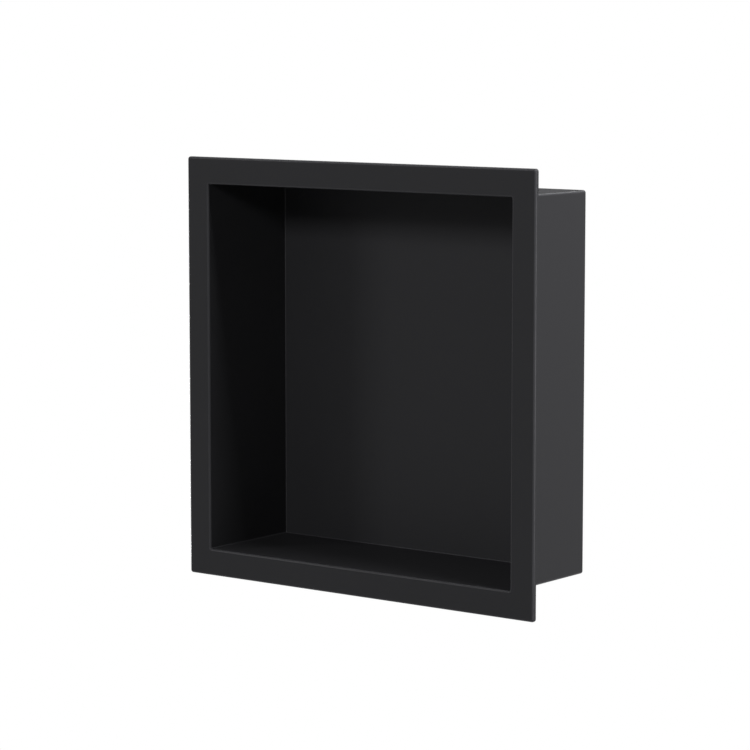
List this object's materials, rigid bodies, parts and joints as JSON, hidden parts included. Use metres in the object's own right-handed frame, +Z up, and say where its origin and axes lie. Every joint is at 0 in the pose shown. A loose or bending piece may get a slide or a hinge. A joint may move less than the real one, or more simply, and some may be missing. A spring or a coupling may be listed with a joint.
{
  "type": "shower niche insert",
  "caption": "Square recessed shelf for a tiled shower wall: a shallow folded-steel box with a flat flange round its mouth, coated matt black.",
  "frame": {"origin": "middle of the opening, in the plane of the tiles, where the rim of the flange's lip rests", "axes": "+X right and +Z up for someone facing the niche, +Y into the wall"},
  "size_m": [0.344, 0.1, 0.344],
  "materials": {
    "coated_steel": "matt black powder coat, fine texture"
  },
  "bodies": {
    "root": {"niche_body": "coated_steel"}
  },
  "joints": []
}
